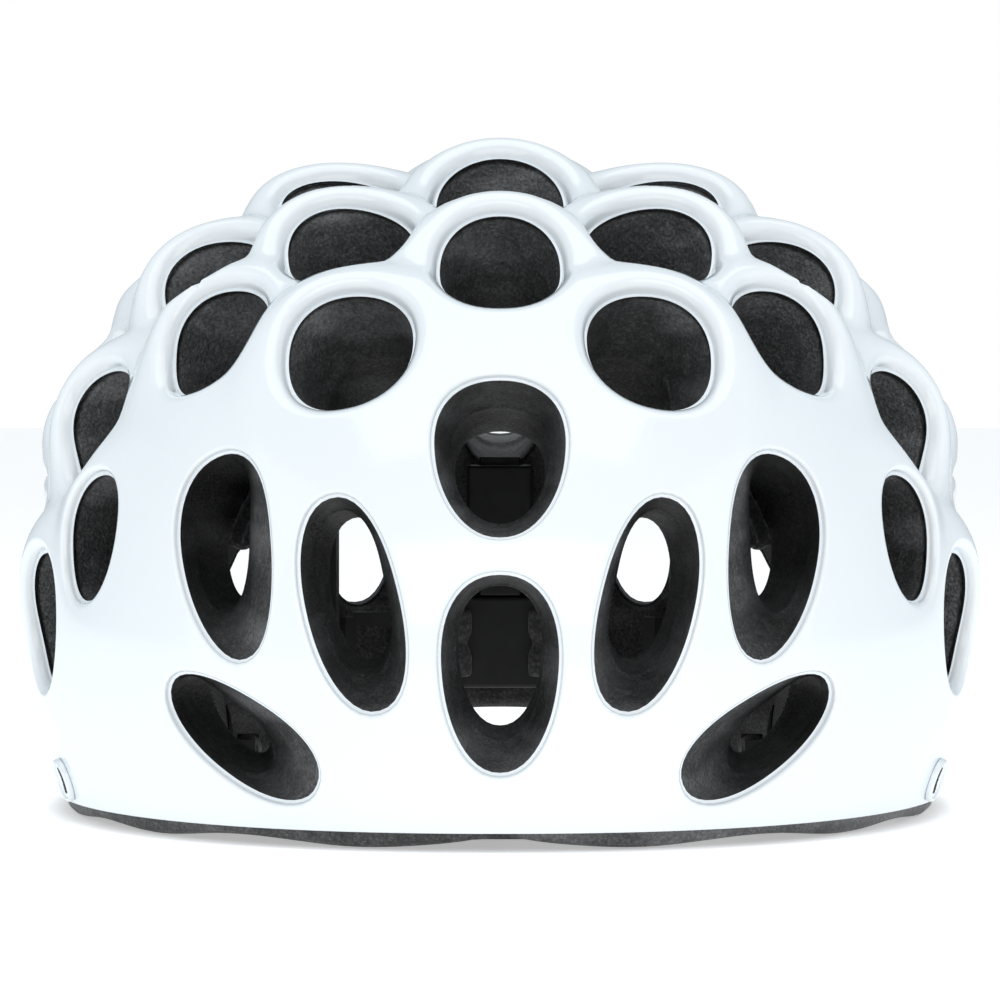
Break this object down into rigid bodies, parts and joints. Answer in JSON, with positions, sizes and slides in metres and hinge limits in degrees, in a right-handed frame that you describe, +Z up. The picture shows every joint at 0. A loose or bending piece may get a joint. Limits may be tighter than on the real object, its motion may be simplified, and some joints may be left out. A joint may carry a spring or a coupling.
{
  "type": "cycling helmet",
  "caption": "Road cycling helmet: glossy white vented shell over black foam, cloth pads, rear cradle with turning dial, strap harness with side-release buckle",
  "frame": {"origin": "on the plane the rim rests on, in the mirror plane, under the middle of the head opening", "axes": "+Z up with the rim resting on its plane, the brow faces -Y, the wearer's left side is +X"},
  "size_m": [0.212, 0.281, 0.1449],
  "materials": {
    "shell_white": "glossy thin moulded shell, cool white",
    "liner_foam": "black moulded bead foam, matt",
    "moulded_black": "satin black moulded plastic",
    "dial_grip": "ribbed soft grip on the dial",
    "webbing": "black woven webbing",
    "pad_cloth": "dark grey brushed cloth over foam padding",
    "spring_steel": "drawn spring wire"
  },
  "bodies": {
    "root": {"outer_shell": "shell_white", "foam_liner": "liner_foam", "temple_plug_left": "shell_white", "temple_plug_right": "shell_white", "front_anchor_left": "moulded_black", "front_anchor_right": "moulded_black", "rear_anchor_left": "moulded_black", "rear_anchor_right": "moulded_black", "brow_pad": "pad_cloth", "crown_pad_left": "pad_cloth", "crown_pad_right": "pad_cloth", "temple_pad_left": "pad_cloth", "temple_pad_right": "pad_cloth", "strut_rail": "moulded_black"},
    "cradle": {"cradle_case": "moulded_black", "cradle_cover": "moulded_black", "cradle_strut": "moulded_black", "occipital_pad_left": "pad_cloth", "occipital_pad_right": "pad_cloth", "detent_spring": "spring_steel"},
    "dial": {"dial_knob": "dial_grip", "dial_pinion": "moulded_black", "dial_screw": "moulded_black"},
    "band_left": {"band_left": "moulded_black"},
    "band_right": {"band_right": "moulded_black"},
    "harness_left": {"strap_front_left": "webbing", "strap_rear_left": "webbing", "divider_left": "moulded_black"},
    "harness_right": {"strap_front_right": "webbing", "strap_rear_right": "webbing", "divider_right": "moulded_black"},
    "lever_left": {"divider_lever_left": "moulded_black"},
    "lever_right": {"divider_lever_right": "moulded_black"},
    "chin_left": {"chin_strap_left": "webbing", "buckle_female": "moulded_black"},
    "buckle_insert": {"buckle_male": "moulded_black"},
    "prong_front": {"buckle_prong_front": "moulded_black"},
    "prong_rear": {"buckle_prong_rear": "moulded_black"},
    "chin_right": {"chin_strap_right": "webbing", "chin_pad": "pad_cloth"},
    "keeper": {"strap_keeper": "moulded_black"}
  },
  "joints": [
    {"name": "cradle_height", "type": "slide", "parent": "root", "child": "cradle", "axis": [0, 0, 1], "range_m": [-0.01, 0]},
    {"name": "dial_turn", "type": "hinge", "parent": "cradle", "child": "dial", "pos_m": [0, 0.0891, 0.031], "axis": [0, 1, 0], "range_deg": [0, 168]},
    {"name": "band_left_draw", "type": "slide", "parent": "cradle", "child": "band_left", "axis": [1, 0, 0], "range_m": [0, 0.01]},
    {"name": "band_right_draw", "type": "slide", "parent": "cradle", "child": "band_right", "axis": [-1, 0, 0], "range_m": [0, 0.01]},
    {"name": "harness_left_swing", "type": "hinge", "parent": "root", "child": "harness_left", "pos_m": [-0.0595, -0.0029, 0.008], "axis": [0, 1, 0], "range_deg": [0, 165]},
    {"name": "harness_right_swing", "type": "hinge", "parent": "root", "child": "harness_right", "pos_m": [0.0595, -0.0029, 0.008], "axis": [0, -1, 0], "range_deg": [0, 165]},
    {"name": "chin_left_swing", "type": "hinge", "parent": "harness_left", "child": "chin_left", "pos_m": [-0.044, -0.0029, 0.088], "axis": [0, 1, 0], "range_deg": [-212, 2]},
    {"name": "chin_right_swing", "type": "hinge", "parent": "harness_right", "child": "chin_right", "pos_m": [0.044, -0.0029, 0.088], "axis": [0, -1, 0], "range_deg": [-212, 2]},
    {"name": "lever_left_open", "type": "hinge", "parent": "harness_left", "child": "lever_left", "pos_m": [-0.0526, -0.0029, 0.0668], "axis": [0, 1, 0], "range_deg": [0, 50]},
    {"name": "lever_right_open", "type": "hinge", "parent": "harness_right", "child": "lever_right", "pos_m": [0.0526, -0.0029, 0.0668], "axis": [0, -1, 0], "range_deg": [0, 50]},
    {"name": "buckle_release", "type": "slide", "parent": "chin_left", "child": "buckle_insert", "axis": [0, 0, -1], "range_m": [0, 0.024]},
    {"name": "prong_rear_squeeze", "type": "hinge", "parent": "buckle_insert", "child": "prong_rear", "pos_m": [-0.04135, 0.0047, 0.035], "axis": [1, 0, 0], "range_deg": [0, 6]},
    {"name": "prong_front_squeeze", "type": "hinge", "parent": "buckle_insert", "child": "prong_front", "pos_m": [-0.04135, -0.0105, 0.035], "axis": [-1, 0, 0], "range_deg": [0, 6]},
    {"name": "keeper_slide", "type": "slide", "parent": "chin_right", "child": "keeper", "axis": [0, 0, 1], "range_m": [-0.012, 0.005]}
  ],
  "couplings": [
    {"joint": "band_left_draw", "follows": "dial_turn", "m_per_rad": 0.0034},
    {"joint": "band_right_draw", "follows": "dial_turn", "m_per_rad": 0.0034},
    {"joint": "chin_left_swing", "follows": "harness_left_swing", "ratio": -1.27},
    {"joint": "chin_right_swing", "follows": "harness_right_swing", "ratio": -1.27},
    {"joint": "prong_front_squeeze", "follows": "prong_rear_squeeze", "ratio": 1}
  ]
}
